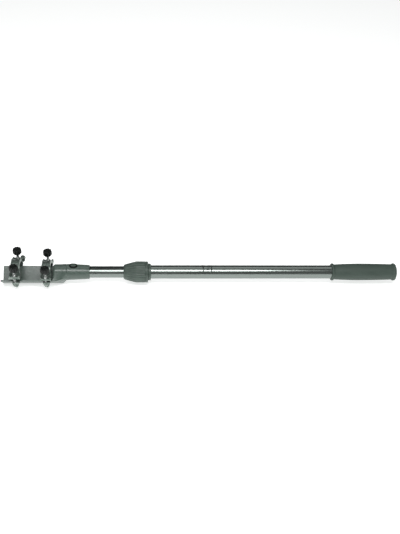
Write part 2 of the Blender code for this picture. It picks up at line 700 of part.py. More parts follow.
def build_clamp(place, metal, steel, black):
    build_yoke(place, metal)
    for side, sign in SIDES.items():
        build_washer(place, side, sign, steel)
        build_stud(place, side, sign, steel)
        build_knob(place, side, sign, black)
        build_jaw(place, side, sign, metal)


def build():
    clear_scene()
    casting = make_material("casting_paint", (0.075, 0.105, 0.088), 0.45, 0.0)
    clamp_metal = make_material("clamp_metal", (0.30, 0.36, 0.32), 0.42, 0.85)
    steel = make_material("screw_steel", (0.55, 0.56, 0.55), 0.3, 1.0)
    aluminium = make_material("tube_aluminium", (0.62, 0.65, 0.63), 0.28, 1.0)
    lock_plastic = make_material("lock_plastic", (0.07, 0.10, 0.085), 0.5, 0.0)
    knob_plastic = make_material("knob_plastic", (0.012, 0.014, 0.013), 0.32, 0.0)
    rubber = make_material("grip_rubber", (0.08, 0.11, 0.095), 0.65, 0.0)
    nylon = make_material("bush_nylon", (0.6, 0.6, 0.56), 0.5, 0.0)

    build_head(casting)
    build_button(lock_plastic)
    build_bezel(knob_plastic)
    build_button_spring(steel)
    build_spring_seat(nylon)
    build_inner_tube(aluminium)
    build_glide_bush(nylon)
    build_outer_tube(aluminium)
    build_tube_end_plug(nylon)
    build_lock_bush(lock_plastic)
    build_collet(nylon)
    build_lock_collar(lock_plastic)
    build_grip(rubber)
    for place in CLAMP_X:
        build_clamp(place, clamp_metal, steel, knob_plastic)


build()
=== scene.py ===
"""Looks of the telescopic tiller extension handle: camera, studio, materials and detailed pieces."""
import json
import math

import bmesh
import bpy
from mathutils import Matrix, Vector, noise


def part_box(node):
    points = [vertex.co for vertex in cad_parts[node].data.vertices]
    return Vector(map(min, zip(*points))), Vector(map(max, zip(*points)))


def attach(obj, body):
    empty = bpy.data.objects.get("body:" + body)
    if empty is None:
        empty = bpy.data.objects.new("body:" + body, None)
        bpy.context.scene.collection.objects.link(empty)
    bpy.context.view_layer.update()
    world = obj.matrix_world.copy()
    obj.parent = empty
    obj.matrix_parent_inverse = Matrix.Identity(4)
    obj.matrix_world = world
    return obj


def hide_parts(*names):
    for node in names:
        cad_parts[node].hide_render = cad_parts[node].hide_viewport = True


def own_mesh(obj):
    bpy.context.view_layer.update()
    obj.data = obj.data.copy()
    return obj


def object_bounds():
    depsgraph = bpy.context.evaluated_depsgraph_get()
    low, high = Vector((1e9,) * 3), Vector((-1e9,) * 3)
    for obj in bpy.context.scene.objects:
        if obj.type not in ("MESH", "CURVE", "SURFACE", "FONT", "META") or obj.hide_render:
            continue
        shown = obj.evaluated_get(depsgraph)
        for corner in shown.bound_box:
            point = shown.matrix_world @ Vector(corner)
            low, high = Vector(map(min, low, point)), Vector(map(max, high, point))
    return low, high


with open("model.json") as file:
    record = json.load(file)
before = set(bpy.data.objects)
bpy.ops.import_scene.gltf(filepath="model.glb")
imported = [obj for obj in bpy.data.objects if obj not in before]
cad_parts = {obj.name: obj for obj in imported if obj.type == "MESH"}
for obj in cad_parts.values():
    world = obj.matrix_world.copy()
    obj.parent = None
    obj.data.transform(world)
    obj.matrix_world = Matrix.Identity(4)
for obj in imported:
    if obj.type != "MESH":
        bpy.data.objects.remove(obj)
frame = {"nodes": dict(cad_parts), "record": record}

CAD_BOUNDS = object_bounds()
BOXES = {name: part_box(name) for name in frame["nodes"]}
BODY_OF = {node: body for body, nodes in frame["record"]["behaviour"]["bodies"].items() for node in nodes}
SLOT_OF = {part["node"]: part["material_slot"] for part in frame["record"]["subparts"]}
MM = 0.001
TURN = 2.0 * math.pi
UP = Vector((0.0, 0.0, 1.0))

# Camera and studio ----------------------------------------------------------------------------

SENSOR = 36.0                       # millimetres, like the lens
LENS = 50.562
CAMERA_ELEVATION = math.radians(38.0)
CAMERA_DISTANCE = 1.382
CAMERA_FOOT_X = 0.155               # where a line from the camera meets the pole squarely
CAMERA_YAW = math.radians(2.3669)
CAMERA_PITCH = math.radians(0.3743)
CAMERA_SHIFT = 0.05805              # share of the picture's longer side
WORLD_COLOUR = (0.95, 1.0, 0.98, 1.0)
WORLD_STRENGTH = 0.13
# Name, angle above the camera's horizon, distance, length, width, power in watts, centre x
SOFTBOXES = (("key_softbox", 60.0, 1.6, 1.15, 0.40, 17.0, 0.125),
             ("top_softbox", 112.0, 1.7, 2.4, 0.9, 6.0, 0.27),
             ("front_fill", 24.0, 2.2, 2.4, 0.5, 0.6, 0.27))
FLOOR_HALF = 6.0
FLOOR_DROP = 0.2 * MM
FLOOR_COLOUR = (0.93, 0.94, 0.935, 1.0)
FLOOR_GLOW = 0.68                   # keeps the part's own shadow pale


def camera_basis():
    """Right, up and forward of the camera: level with the pole, then turned and tipped a little."""
    sin_e, cos_e = math.sin(CAMERA_ELEVATION), math.cos(CAMERA_ELEVATION)
    forward = Vector((0.0, cos_e, -sin_e))
    right = Vector((1.0, 0.0, 0.0))
    up = Vector((0.0, sin_e, cos_e))
    turned_forward = forward * math.cos(CAMERA_YAW) + right * math.sin(CAMERA_YAW)
    right = right * math.cos(CAMERA_YAW) - forward * math.sin(CAMERA_YAW)
    final_forward = turned_forward * math.cos(CAMERA_PITCH) + up * math.sin(CAMERA_PITCH)
    final_up = up * math.cos(CAMERA_PITCH) - turned_forward * math.sin(CAMERA_PITCH)
    return right, final_up, final_forward


def add_camera():
    data = bpy.data.cameras.new("camera")
    data.sensor_width = SENSOR
    data.lens = LENS
    data.shift_x = CAMERA_SHIFT
    data.clip_start = 0.01
    camera = bpy.data.objects.new("camera", data)
    right, up, forward = camera_basis()
    place = Vector((CAMERA_FOOT_X, -CAMERA_DISTANCE * math.cos(CAMERA_ELEVATION),
                    CAMERA_DISTANCE * math.sin(CAMERA_ELEVATION)))
    rotation = Matrix((right, up, -forward)).transposed()
    camera.matrix_world = Matrix.Translation(place) @ rotation.to_4x4()
    bpy.context.scene.collection.objects.link(camera)
    bpy.context.scene.camera = camera


def add_softbox(name, elevation_deg, distance, length, width, power, x):
    """Long softbox parallel to the pole, facing it."""
    angle = math.radians(elevation_deg)
    centre = Vector((x, -distance * math.cos(angle), distance * math.sin(angle)))
    data = bpy.data.lights.new(name, "AREA")
    data.shape = "RECTANGLE"
    data.size = length
    data.size_y = width
    data.energy = power
    light = bpy.data.objects.new(name, data)
    light.location = centre
    light.rotation_euler = (Vector((x, 0.0, 0.0)) - centre).to_track_quat("-Z", "Y").to_euler()
    bpy.context.scene.collection.objects.link(light)


def add_studio():
    world = bpy.data.worlds.new("studio")
    world.use_nodes = True
    background = world.node_tree.nodes["Background"]
    background.inputs["Color"].default_value = WORLD_COLOUR
    background.inputs["Strength"].default_value = WORLD_STRENGTH
    bpy.context.scene.world = world
    bpy.context.scene.view_settings.view_transform = "Standard"
    for softbox in SOFTBOXES:
        add_softbox(*softbox)


def add_floor():
    """Sheet of white acrylic, faintly lit from below, which keeps shadows light."""
    z = CAD_BOUNDS[0][2] - FLOOR_DROP
    mesh = bpy.data.meshes.new("floor")
    corners = [(x * FLOOR_HALF, y * FLOOR_HALF, z) for x, y in ((-1, -1), (1, -1), (1, 1), (-1, 1))]
    mesh.from_pydata(corners, [], [(0, 1, 2, 3)])
    material = bpy.data.materials.new("floor")
    material.use_nodes = True
    shader = material.node_tree.nodes["Principled BSDF"]
    shader.inputs["Base Color"].default_value = FLOOR_COLOUR
    shader.inputs["Roughness"].default_value = 0.9
    shader.inputs["Emission Color"].default_value = (1.0, 1.0, 1.0, 1.0)
    shader.inputs["Emission Strength"].default_value = FLOOR_GLOW
    mesh.materials.append(material)
    floor = bpy.data.objects.new("floor", mesh)
    bpy.context.scene.collection.objects.link(floor)


# Material helpers -----------------------------------------------------------------------------

class Look:
    """A Principled material, with short calls for the nodes that drive it."""

    def __init__(self, name, metallic, roughness):
        self.material = bpy.data.materials.new(name)
        self.material.use_nodes = True
        self.tree = self.material.node_tree
        self.shader = self.tree.nodes["Principled BSDF"]
        self.shader.inputs["Metallic"].default_value = metallic
        self.shader.inputs["Roughness"].default_value = roughness
        self.place = self.tree.nodes.new("ShaderNodeTexCoord").outputs["Object"]

    def link(self, start, end):
        self.tree.links.new(start, end)

    def stretched(self, scale):
        """Object coordinates in metres, scaled by one number or by one for each axis."""
        mapping = self.tree.nodes.new("ShaderNodeMapping")
        mapping.inputs["Scale"].default_value = scale if isinstance(scale, tuple) else (scale,) * 3
        self.link(self.place, mapping.inputs["Vector"])
        return mapping.outputs["Vector"]

    def noise(self, scale, detail=4.0, rough=0.55):
        """Noise from 0 to 1; scale is features per metre, one number or one for each axis."""
        texture = self.tree.nodes.new("ShaderNodeTexNoise")
        texture.inputs["Scale"].default_value = 1.0
        texture.inputs["Detail"].default_value = detail
        texture.inputs["Roughness"].default_value = rough
        self.link(self.stretched(scale), texture.inputs["Vector"])
        return texture.outputs["Fac"]

    def cells(self, scale):
        """Distance to the nearest of many scattered points, for pits and pebbles."""
        texture = self.tree.nodes.new("ShaderNodeTexVoronoi")
        texture.inputs["Scale"].default_value = 1.0
        self.link(self.stretched(scale), texture.inputs["Vector"])
        return texture.outputs["Distance"]

    def spread(self, value, low, high, from_low=0.3, from_high=0.7):
        """Map a texture value onto a range."""
        node = self.tree.nodes.new("ShaderNodeMapRange")
        for name, number in (("From Min", from_low), ("From Max", from_high),
                             ("To Min", low), ("To Max", high)):
            node.inputs[name].default_value = number
        self.link(value, node.inputs["Value"])
        return node.outputs["Result"]

    def total(self, first, second):
        """Sum of two sockets."""
        node = self.tree.nodes.new("ShaderNodeMath")
        node.operation = "ADD"
        self.link(first, node.inputs[0])
        self.link(second, node.inputs[1])
        return node.outputs["Value"]

    def ramp(self, value, stops):
        """Colours along a value: (position, (r, g, b)) stops."""
        node = self.tree.nodes.new("ShaderNodeValToRGB")
        elements = node.color_ramp.elements
        while len(elements) < len(stops):
            elements.new(0.5)
        for element, (position, colour) in zip(elements, stops):
            element.position = position
            element.color = (*colour, 1.0)
        self.link(value, node.inputs["Fac"])
        return node.outputs["Color"]

    def mix(self, value, first, second):
        """Blend two colours, each a socket or an (r, g, b)."""
        node = self.tree.nodes.new("ShaderNodeMix")
        node.data_type = "RGBA"
        self.link(value, node.inputs["Factor"])
        for name, colour in (("A", first), ("B", second)):
            socket = [s for s in node.inputs if s.name == name and s.type == "RGBA"][0]
            if isinstance(colour, tuple):
                socket.default_value = (*colour, 1.0)
            else:
                self.link(colour, socket)
        return [s for s in node.outputs if s.type == "RGBA"][0]

    def colour(self, socket):
        self.link(socket, self.shader.inputs["Base Color"])

    def roughness(self, socket):
        self.link(socket, self.shader.inputs["Roughness"])

    def bump(self, heights):
        """Stack bumps: (height socket, depth in metres) from coarse to fine."""
        normal = None
        for height, depth in heights:
            node = self.tree.nodes.new("ShaderNodeBump")
            node.inputs["Strength"].default_value = 1.0
            node.inputs["Distance"].default_value = depth
            self.link(height, node.inputs["Height"])
            if normal is not None:
                self.link(normal, node.inputs["Normal"])
            normal = node.outputs["Normal"]
        self.link(normal, self.shader.inputs["Normal"])


# Materials ------------------------------------------------------------------------------------

def painted_casting():
    """Grey-green enamel over a sand casting: mottled, with a fine orange peel."""
    look = Look("painted_casting", 0.0, 0.4)
    patches = look.noise(110.0, 5.0, 0.6)
    grain = look.noise(900.0, 3.0, 0.6)
    base = look.ramp(patches, [(0.3, (0.048, 0.074, 0.060)), (0.55, (0.066, 0.098, 0.081)),
                               (0.75, (0.094, 0.128, 0.108))])
    look.colour(look.mix(look.spread(grain, 0.0, 0.35), base, (0.13, 0.165, 0.145)))
    look.roughness(look.spread(patches, 0.30, 0.46))
    look.bump([(look.noise(260.0, 3.0), 0.25 * MM), (grain, 0.08 * MM)])
    look.shader.inputs["Coat Weight"].default_value = 0.25
    look.shader.inputs["Coat Roughness"].default_value = 0.18
    return look.material


def clamp_casting():
    """Bare die-cast alloy with a dull oxide film and bright rubbed patches."""
    look = Look("clamp_casting", 0.75, 0.4)
    film = look.noise(220.0, 6.0, 0.62)
    grain = look.noise(1500.0, 3.0)
    base = look.ramp(film, [(0.3, (0.09, 0.12, 0.10)), (0.5, (0.17, 0.205, 0.185)),
                            (0.72, (0.34, 0.38, 0.35))])
    look.colour(base)
    look.roughness(look.spread(film, 0.52, 0.30))
    look.bump([(look.noise(500.0, 4.0), 0.14 * MM), (grain, 0.04 * MM)])
    return look.material


def drawn_aluminium():
    """Clear-anodised tube: fine lines along the tube and faint handling marks."""
    look = Look("drawn_aluminium", 1.0, 0.26)
    lines = look.noise((6.0, 1600.0, 1600.0), 4.0, 0.6)
    cloud = look.noise((14.0, 60.0, 60.0), 3.0, 0.5)
    base = look.ramp(lines, [(0.3, (0.19, 0.215, 0.20)), (0.7, (0.26, 0.29, 0.275))])
    look.colour(look.mix(look.spread(cloud, 0.0, 0.30), base, (0.22, 0.25, 0.235)))
    look.roughness(look.total(look.spread(lines, 0.16, 0.26), look.spread(cloud, 0.0, 0.08)))
    look.bump([(lines, 0.006 * MM)])
    return look.material


def knob_plastic():
    """Hard black plastic, dulled by fine scuffs."""
    look = Look("knob_plastic", 0.0, 0.3)
    scuffs = look.noise(700.0, 6.0, 0.65)
    look.colour(look.ramp(scuffs, [(0.35, (0.003, 0.004, 0.0035)), (0.75, (0.010, 0.013, 0.011))]))
    look.roughness(look.spread(scuffs, 0.22, 0.42))
    look.shader.inputs["Specular IOR Level"].default_value = 0.22
    look.bump([(look.noise(420.0, 3.0), 0.05 * MM), (scuffs, 0.015 * MM)])
    return look.material


def lock_plastic():
    """Moulded glass-filled nylon, grey-green, with a spark-eroded grain."""
    look = Look("lock_plastic", 0.0, 0.45)
    flow = look.noise((60.0, 160.0, 160.0), 4.0, 0.55)
    grain = look.noise(1900.0, 2.0)
    base = look.ramp(flow, [(0.3, (0.036, 0.056, 0.045)), (0.75, (0.076, 0.106, 0.088))])
    look.colour(look.mix(look.spread(grain, 0.0, 0.25), base, (0.14, 0.18, 0.155)))
    look.roughness(look.spread(grain, 0.38, 0.56))
    look.bump([(grain, 0.05 * MM)])
    return look.material


def grip_rubber():
    """Soft grey-green rubber with a leathery pebble and pale bloom."""
    look = Look("grip_rubber", 0.0, 0.6)
    bloom = look.noise((30.0, 90.0, 90.0), 4.0, 0.6)
    pebble = look.cells(1100.0)
    base = look.ramp(bloom, [(0.3, (0.034, 0.055, 0.043)), (0.7, (0.058, 0.084, 0.069))])
    look.colour(look.mix(look.spread(pebble, 0.0, 0.22, 0.1, 0.7), base, (0.10, 0.135, 0.115)))
    look.roughness(look.spread(bloom, 0.50, 0.68))
    look.bump([(pebble, 0.09 * MM), (look.noise(2600.0, 2.0), 0.02 * MM)])
    return look.material


def zinc_steel():
    """Zinc-plated screw steel."""
    look = Look("zinc_steel", 1.0, 0.3)
    spangle = look.noise(600.0, 4.0, 0.6)
    look.colour(look.ramp(spangle, [(0.3, (0.42, 0.44, 0.43)), (0.7, (0.62, 0.64, 0.62))]))
    look.roughness(look.spread(spangle, 0.22, 0.38))
    look.bump([(look.noise(1800.0, 2.0), 0.01 * MM)])
    return look.material


def spring_steel():
    """Bright drawn wire."""
    look = Look("spring_steel", 1.0, 0.25)
    drawn = look.noise(2400.0, 3.0)
    look.colour(look.ramp(drawn, [(0.3, (0.30, 0.31, 0.31)), (0.7, (0.50, 0.51, 0.50))]))
    look.roughness(look.spread(drawn, 0.2, 0.34))
    return look.material


def natural_nylon():
    """Milky unfilled nylon for the hidden bushes."""
    look = Look("natural_nylon", 0.0, 0.45)
    cloud = look.noise(150.0, 4.0)
    look.colour(look.ramp(cloud, [(0.3, (0.55, 0.54, 0.49)), (0.7, (0.66, 0.65, 0.61))]))
    look.roughness(look.spread(cloud, 0.38, 0.52))
    look.bump([(look.noise(1600.0, 2.0), 0.02 * MM)])
    return look.material


def print_ink():
    """Screen-printed ink, slightly thin in places."""
    look = Look("print_ink", 0.0, 0.5)
    thin = look.noise(1400.0, 4.0)
    look.colour(look.ramp(thin, [(0.3, (0.008, 0.011, 0.010)), (0.75, (0.035, 0.042, 0.038))]))
    look.roughness(look.spread(thin, 0.4, 0.6))
    return look.material


# Shape helpers --------------------------------------------------------------------------------

SHARP_DEG = 38.0
FILLET_LIMIT = 0.45                 # the most of an edge that one rounded corner takes


def finish_mesh(name, bm, material, sharp_deg=SHARP_DEG):
    """Object from a bmesh, shaded smooth except at edges sharper than an angle."""
    bmesh.ops.recalc_face_normals(bm, faces=bm.faces)
    mesh = bpy.data.meshes.new(name)
    bm.to_mesh(mesh)
    bm.free()
    mesh.shade_smooth()
    mesh.set_sharp_from_angle(angle=math.radians(sharp_deg))
    obj = bpy.data.objects.new(name, mesh)
    if material is not None:
        mesh.materials.append(material)
    bpy.context.scene.collection.objects.link(obj)
    return obj


def install(obj, node):
    """The piece replaces a CAD node, on that node's body."""
    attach(obj, BODY_OF[node])
    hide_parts(node)


def skin(rings, closed_loop=False):
    """bmesh through rings of equal length."""
    bm = bmesh.new()
    verts = [[bm.verts.new(point) for point in ring] for ring in rings]
    pairs = list(zip(verts, verts[1:]))
    if closed_loop:
        pairs.append((verts[-1], verts[0]))
    count = len(verts[0])
    for first, second in pairs:
        for i in range(count):
            j = (i + 1) % count
            bm.faces.new((first[i], first[j], second[j], second[i]))
    if not closed_loop:
        bm.faces.new(verts[0])
        bm.faces.new(verts[-1])
    return bm


def ring_x(x, radius, count=96):
    return [Vector((x, radius * math.cos(TURN * i / count), radius * math.sin(TURN * i / count)))
            for i in range(count)]


def ring_z(centre, z, radius, count=48):
    return [Vector((centre[0] + radius * math.cos(TURN * i / count),
                    centre[1] + radius * math.sin(TURN * i / count), z)) for i in range(count)]


def filleted(outline, radius, steps=3):
    """Round every corner of a closed outline of 2-D points."""
    result = []
    for i, point in enumerate(outline):
        corner = Vector(point)
        back = Vector(outline[i - 1]) - corner
        ahead = Vector(outline[(i + 1) % len(outline)]) - corner
        cut = min(radius, FILLET_LIMIT * back.length, FILLET_LIMIT * ahead.length)
        start = corner + back.normalized() * cut
        end = corner + ahead.normalized() * cut
        for step in range(steps + 1):
            t = step / steps
            result.append(start * (1.0 - t) ** 2 + corner * (2.0 * t * (1.0 - t)) + end * t * t)
    return result


def divided(outline, spacing):
    """Add points to a closed outline so that no step is longer than the spacing."""
    result = []
    for i, point in enumerate(outline):
        start, end = Vector(point), Vector(outline[(i + 1) % len(outline)])
        steps = max(math.ceil((end - start).length / spacing), 1)
        result += [start.lerp(end, step / steps) for step in range(steps)]
    return result


def arc(centre, radius, start_deg, end_deg, steps):
    """Points of an arc, both ends included."""
    angles = [math.radians(start_deg + (end_deg - start_deg) * i / steps) for i in range(steps + 1)]
    return [(centre[0] + radius * math.cos(a), centre[1] + radius * math.sin(a)) for a in angles]


def smoothstep(value):
    value = min(max(value, 0.0), 1.0)
    return value * value * (3.0 - 2.0 * value)


def prism_x(outline, x_start, x_end):
    """Solid from a (y, z) outline pushed along X."""
    return skin([[Vector((x, y, z)) for y, z in outline] for x in (x_start, x_end)])


def oval(centre, z, length, width, count=48):
    """Slot-shaped ring in a level plane, long side along X."""
    radius = width / 2.0
    straight = (length - width) / 2.0
    points = []
    for end, first in ((1.0, -TURN / 4.0), (-1.0, TURN / 4.0)):
        for i in range(count // 2 + 1):
            angle = first + TURN * i / count
            points.append(Vector((centre[0] + end * straight + radius * math.cos(angle),
                                  centre[1] + radius * math.sin(angle), z)))
    return points


def applied(obj):
    """Replace an object's mesh with what its modifiers make of it."""
    graph = bpy.context.evaluated_depsgraph_get()
    mesh = bpy.data.meshes.new_from_object(obj.evaluated_get(graph))
    obj.modifiers.clear()
    obj.data = mesh


def boolean(obj, bm, operation):
    """Cut a solid with another one, or add it."""
    other = finish_mesh("operand", bm, None)
    modifier = obj.modifiers.new(operation, "BOOLEAN")
    modifier.operation = operation
    modifier.object = other
    modifier.solver = "EXACT"
    applied(obj)
    bpy.data.objects.remove(other, do_unlink=True)


def cast_surface(obj, voxel, rounds):
    """Remesh a sharp solid finely and relax it, which leaves a casting's small fillets."""
    remesh = obj.modifiers.new("remesh", "REMESH")
    remesh.mode = "VOXEL"
    remesh.voxel_size = voxel
    relax = obj.modifiers.new("relax", "SMOOTH")
    relax.factor = 0.5
    relax.iterations = rounds
    applied(obj)
    obj.data.shade_smooth()


def lathe(name, outline, material, count=96, relief=None):
    """Ring-shaped solid round the pole's axis from a closed (x, radius) outline."""
    rings = []
    for x, radius in outline:
        if relief is None:
            rings.append(ring_x(x, radius, count))
        else:
            angles = [TURN * i / count for i in range(count)]
            radii = [radius + relief(x, radius, a) for a in angles]
            rings.append([Vector((x, r * math.cos(a), r * math.sin(a)))
                          for a, r in zip(angles, radii)])
    return finish_mesh(name, skin(rings, closed_loop=True), material)


def span(node):
    """Lowest and highest x of a CAD node."""
    low, high = BOXES[node]
    return low[0], high[0]


def post_centre(node):
    """(x, y) of the middle of a CAD node."""
    low, high = BOXES[node]
    return (low[0] + high[0]) / 2.0, (low[1] + high[1]) / 2.0


# Head: saddle, neck and socket ----------------------------------------------------------------

SADDLE_WALL = 3.0 * MM
LIP_OVERLAP = 0.6 * MM
DOME_START_DEG = 32.0
OUTLINE_STEP = 1.0 * MM
STATION_STEP = 0.35 * MM
CHANNEL_REACH = 60.0 * MM
GAP = 0.3 * MM
BUTTON_SLOT_LESS = (3.1 * MM, 3.4 * MM)      # how much shorter and narrower than the bezel
HEAD_VOXEL = 0.5 * MM
KEEL_Z = -27.2 * MM
KEEL_R = 3.0 * MM
LIP_Z = -4.0 * MM
DOME_R = 14.2 * MM
NECK_END_X = 29.0 * MM
NECK_CORNER = 4.5 * MM
KEEL_RISE_X = 15.0 * MM
SOCKET_R_START = 14.9 * MM
SOCKET_R_END = 13.1 * MM
SOCKET_END_ROUND = 1.3 * MM
SLEEVE_X = 17.2 * MM                # a low step where the machined sleeve begins
SLEEVE_STEP = 0.35 * MM
GROOVE_X = 23.0 * MM
GROOVE_WIDTH = 2.4 * MM
GROOVE_DEPTH = 0.5 * MM
GROOVE_SIDE = 0.35 * MM
MOUTH_LINE_X = 62.4 * MM
MOUTH_LINE_WIDTH = 1.0 * MM
MOUTH_LINE_DEPTH = 0.35 * MM
SOCKET_BORE_X = 22.0 * MM
BORE_R = 11.05 * MM


def saddle_outline():
    """Outside of the casting at the saddle: a V with a dome above it."""
    keel_centre_z = KEEL_Z + KEEL_R * math.sqrt(2.0)
    keel = arc((0.0, keel_centre_z), KEEL_R, -90.0, -45.0, 6)
    lip_y = LIP_Z - KEEL_Z
    over = SADDLE_WALL / math.sqrt(2.0) + LIP_OVERLAP
    lip = [(lip_y, LIP_Z), (lip_y - over, LIP_Z + over)]
    dome = arc((0.0, 0.0), DOME_R, DOME_START_DEG, 90.0, 12)
    half = keel + lip + dome
    left = [(-y, z) for y, z in reversed(half) if abs(y) > 0.001 * MM]
    return divided(half + left, OUTLINE_STEP)


def ring_cut(x, start, width, depth):
    """Depth of a turned groove with sloping sides."""
    inside = min(x - start, start + width - x)
    return depth * min(max(inside / GROOVE_SIDE, 0.0), 1.0)


def round_radius(x):
    share = max(x - NECK_END_X, 0.0) / (span("head_casting")[1] - NECK_END_X)
    radius = SOCKET_R_START + (SOCKET_R_END - SOCKET_R_START) * share
    if x < SLEEVE_X:
        radius -= SLEEVE_STEP
    radius -= ring_cut(x, GROOVE_X, GROOVE_WIDTH, GROOVE_DEPTH)
    radius -= ring_cut(x, MOUTH_LINE_X, MOUTH_LINE_WIDTH, MOUTH_LINE_DEPTH)
    return radius


def quarter_round(distance, radius):
    """How far a rounded corner lies inside its sharp one, at a distance from the end."""
    share = 1.0 - min(max(distance / radius, 0.0), 1.0)
    return radius * (1.0 - math.sqrt(1.0 - share * share))


def head_ring(x, outline, round_r):
    points = []
    for y, z in outline:
        angle = math.atan2(z, y)
        start = KEEL_RISE_X * max(-math.sin(angle), 0.0) ** 2
        blend = smoothstep((x - start) / (NECK_END_X - start))
        radius = (1.0 - blend) * math.hypot(y, z) + blend * round_r
        if angle >= 0.0:
            radius -= quarter_round(x, NECK_CORNER)
        radius -= quarter_round(span("head_casting")[1] - x, SOCKET_END_ROUND)
        points.append(Vector((x, radius * math.cos(angle), radius * math.sin(angle))))
    return points


def detailed_head(looks):
    x_start, x_end = span("head_casting")
    outline = saddle_outline()
    count = round(x_end / STATION_STEP)
    stations = [x_start] + [x_end * i / count for i in range(count + 1)]
    rings = [head_ring(x, outline, round_radius(x)) for x in stations]
    head = finish_mesh("head_casting_detail", skin(rings), looks["casting"])
    fold_z = KEEL_Z + SADDLE_WALL * math.sqrt(2.0)
    channel_top = fold_z + CHANNEL_REACH
    channel = [(0.0, fold_z), (CHANNEL_REACH, channel_top), (-CHANNEL_REACH, channel_top)]
    boolean(head, prism_x(channel, 2.0 * x_start, 0.0), "DIFFERENCE")
    boolean(head, skin([ring_x(x, BORE_R) for x in (SOCKET_BORE_X, 2.0 * x_end)]), "DIFFERENCE")
    low, high = BOXES["button_bezel"]
    centre = post_centre("button_bezel")
    length, width = high[0] - low[0], high[1] - low[1]
    top = 2.0 * high[2]
    pocket = [oval(centre, z, length + 2.0 * GAP, width + 2.0 * GAP) for z in (low[2] - GAP, top)]
    boolean(head, skin(pocket), "DIFFERENCE")
    slot = [oval(centre, z, length - BUTTON_SLOT_LESS[0], width - BUTTON_SLOT_LESS[1]) for z in (0.0, top)]
    boolean(head, skin(slot), "DIFFERENCE")
    cast_surface(head, HEAD_VOXEL, 2)
    install(head, "head_casting")


# Snap button ----------------------------------------------------------------------------------

BEZEL_WALL = 1.7 * MM
BEZEL_ROUND = 0.7 * MM
BUTTON_FLANGE = 1.3 * MM
BUTTON_FLANGE_HEIGHT = 1.5 * MM
BUTTON_EDGE = 0.3 * MM
BUTTON_CROWN = 0.9 * MM
CROWN_ANGLES = (0.4, 0.8, 1.2, 1.5)
SPRING_WIRE_R = 0.4 * MM
SPRING_TURNS = 4
SPRING_STEPS = 40                   # rings for each turn
SPRING_SIDES = 12


def resized(centre, section, length, width):
    """Slot-shaped rings from (height, inset) pairs; an inset below zero makes a ring smaller."""
    return [oval(centre, z, length + 2.0 * inset, width + 2.0 * inset) for z, inset in section]


def detailed_bezel(looks):
    low, high = BOXES["button_bezel"]
    centre = post_centre("button_bezel")
    length, width = high[0] - low[0], high[1] - low[1]
    corners = [(low[2], 0.0), (high[2], 0.0), (high[2], -BEZEL_WALL), (low[2], -BEZEL_WALL)]
    rings = resized(centre, filleted(corners, BEZEL_ROUND, 4), length, width)
    bezel = finish_mesh("button_bezel_detail", skin(rings, closed_loop=True), looks["knob_plastic"])
    install(bezel, "button_bezel")


def detailed_button(looks):
    low, high = BOXES["snap_button"]
    centre = post_centre("button_bezel")
    length, width = high[0] - low[0], high[1] - low[1]
    shoulder = low[2] + BUTTON_FLANGE_HEIGHT
    crown_z = high[2] - BUTTON_CROWN
    levels = [(low[2], -BUTTON_EDGE), (low[2] + BUTTON_EDGE, 0.0), (shoulder - BUTTON_EDGE, 0.0),
              (shoulder, -BUTTON_EDGE), (shoulder, -BUTTON_FLANGE), (crown_z, -BUTTON_FLANGE)]
    for angle in CROWN_ANGLES:
        inset = -BUTTON_FLANGE - 1.2 * BUTTON_CROWN * (1.0 - math.cos(angle))
        levels.append((crown_z + BUTTON_CROWN * math.sin(angle), inset))
    rings = resized(centre, levels, length, width)
    button = finish_mesh("snap_button_detail", skin(rings), looks["lock_plastic"])
    install(button, "snap_button")


def detailed_spring(looks):
    low, high = BOXES["button_spring"]
    centre = post_centre("button_spring")
    radius = (high[0] - low[0]) / 2.0 - SPRING_WIRE_R
    bottom, top = low[2] + SPRING_WIRE_R, high[2] - SPRING_WIRE_R
    count = SPRING_TURNS * SPRING_STEPS
    rings = []
    for i in range(count + 1):
        angle = TURN * i / SPRING_STEPS
        out = Vector((math.cos(angle), math.sin(angle), 0.0))
        middle = Vector((centre[0], centre[1], bottom + (top - bottom) * i / count)) + out * radius
        sides = [TURN * k / SPRING_SIDES for k in range(SPRING_SIDES)]
        rings.append([middle + SPRING_WIRE_R * (out * math.cos(side) + UP * math.sin(side))
                      for side in sides])
    spring = finish_mesh("button_spring_detail", skin(rings), looks["spring"])
    install(spring, "button_spring")
    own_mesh(spring)


# Tubes ----------------------------------------------------------------------------------------

TUBE_WALL = 1.2 * MM
TUBE_LIP = 0.4 * MM
TUBE_SLOT_LESS = 2.0 * MM           # how much shorter and narrower than the button's flange
MARK_HEIGHT = 0.03 * MM
MARK_THICKNESS = 0.02 * MM
MARK_STEPS = 14


def tube(node, look):
    """Drawn tube with a small bead at each cut end."""
    x_start, x_end = span(node)
    radius = BOXES[node][1][1]
    outline = [(x_start, radius), (x_end, radius), (x_end, radius - TUBE_WALL),
               (x_start, radius - TUBE_WALL)]
    piece = lathe(node + "_detail", filleted(outline, TUBE_LIP, 4), look, 128)
    install(piece, node)
    return piece


def detailed_tubes(looks):
    tube("outer_tube", looks["tube"])
    inner = tube("inner_tube", looks["tube"])
    low, high = BOXES["snap_button"]
    centre = post_centre("snap_button")
    length, width = high[0] - low[0] - TUBE_SLOT_LESS, high[1] - low[1] - TUBE_SLOT_LESS
    slot = [oval(centre, z, length, width) for z in (0.0, high[2])]
    boolean(inner, skin(slot), "DIFFERENCE")


